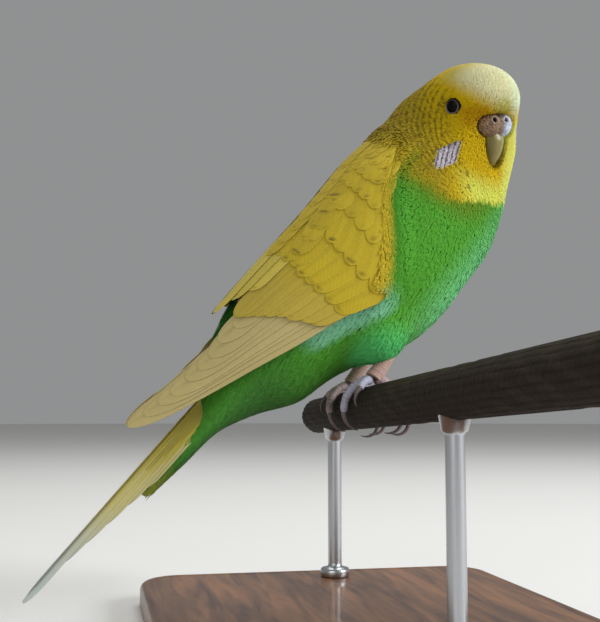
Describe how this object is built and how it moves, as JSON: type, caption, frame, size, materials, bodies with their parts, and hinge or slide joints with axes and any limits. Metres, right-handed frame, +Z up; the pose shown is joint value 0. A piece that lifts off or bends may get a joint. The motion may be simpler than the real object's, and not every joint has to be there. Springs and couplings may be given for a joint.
{
  "type": "budgerigar model on a stand",
  "caption": "Life-size still model of a green and yellow budgerigar gripping a cut perch, on a flat display stand.",
  "frame": {"origin": "middle of the feet's grip on the perch, dropped to the underside of the stand's base", "axes": "+X where the bird's body faces, +Y to the bird's left along the perch, +Z up"},
  "size_m": [0.1341, 0.192, 0.1495],
  "materials": {
    "head": "soft yellow plumage",
    "neck": "yellow plumage shading to green",
    "torso": "bright green plumage",
    "wing_left": "yellow plumage with grey edges",
    "wing_right": "yellow plumage with grey edges",
    "tail": "yellow to pale green feathers",
    "eye_left": "glossy black",
    "eye_right": "glossy black",
    "cere": "rough brown",
    "bill_upper": "satin olive horn",
    "bill_lower": "satin olive horn",
    "leg_left": "scaly pinkish grey",
    "leg_right": "scaly pinkish grey",
    "perch": "dark, finely grooved",
    "stand_base": "dark stained, satin",
    "stand_rod_near": "satin",
    "stand_rod_far": "satin"
  },
  "bodies": {
    "root": {"head": "head", "neck": "neck", "torso": "torso", "wing_left": "wing_left", "wing_right": "wing_right", "tail": "tail", "eye_left": "eye_left", "eye_right": "eye_right", "cere": "cere", "bill_upper": "bill_upper", "bill_lower": "bill_lower", "leg_left": "leg_left", "leg_right": "leg_right", "perch": "perch", "stand_base": "stand_base", "stand_rod_near": "stand_rod_near", "stand_rod_far": "stand_rod_far"}
  },
  "joints": []
}
